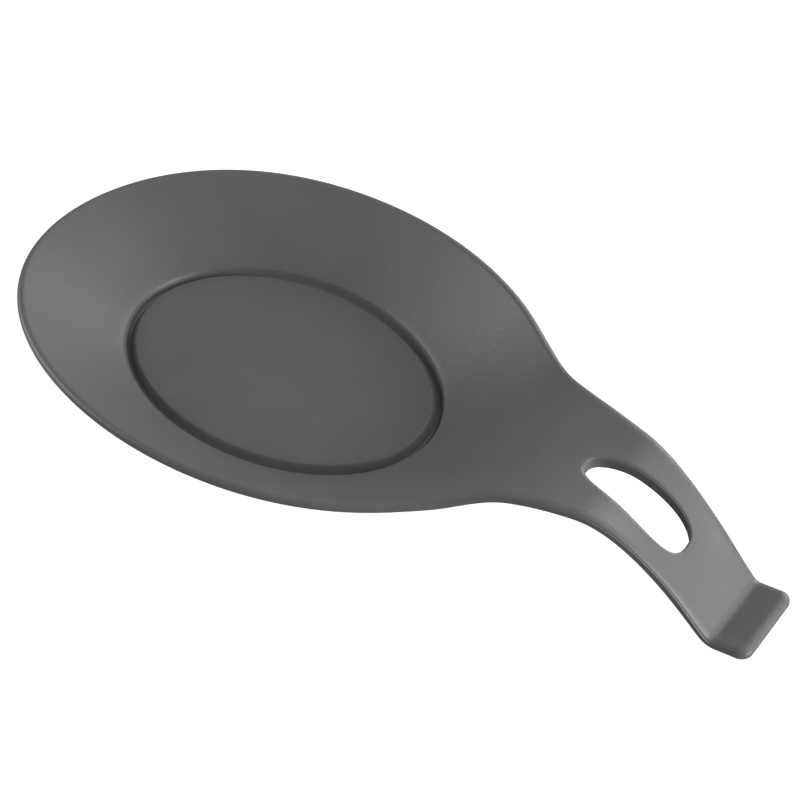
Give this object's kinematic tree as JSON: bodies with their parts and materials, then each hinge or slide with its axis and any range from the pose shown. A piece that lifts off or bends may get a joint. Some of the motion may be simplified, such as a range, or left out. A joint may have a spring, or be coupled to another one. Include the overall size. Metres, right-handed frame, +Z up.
{
  "type": "spoon rest",
  "caption": "Oval dish with a raised oval pad, a narrow neck, an arched handle with a hanging slot and a short upturned lip, moulded in soft grey silicone.",
  "frame": {"origin": "on the table, under the middle of the raised pad", "axes": "+X along the handle towards the lip, +Y across the dish, +Z up from the table"},
  "size_m": [0.1995, 0.0984, 0.0244],
  "materials": {
    "grey_silicone": "matte moulded silicone with a fine velvety surface"
  },
  "bodies": {
    "root": {"centre_pad": "grey_silicone", "dish_wall": "grey_silicone", "neck": "grey_silicone", "handle": "grey_silicone", "end_lip": "grey_silicone"}
  },
  "joints": []
}
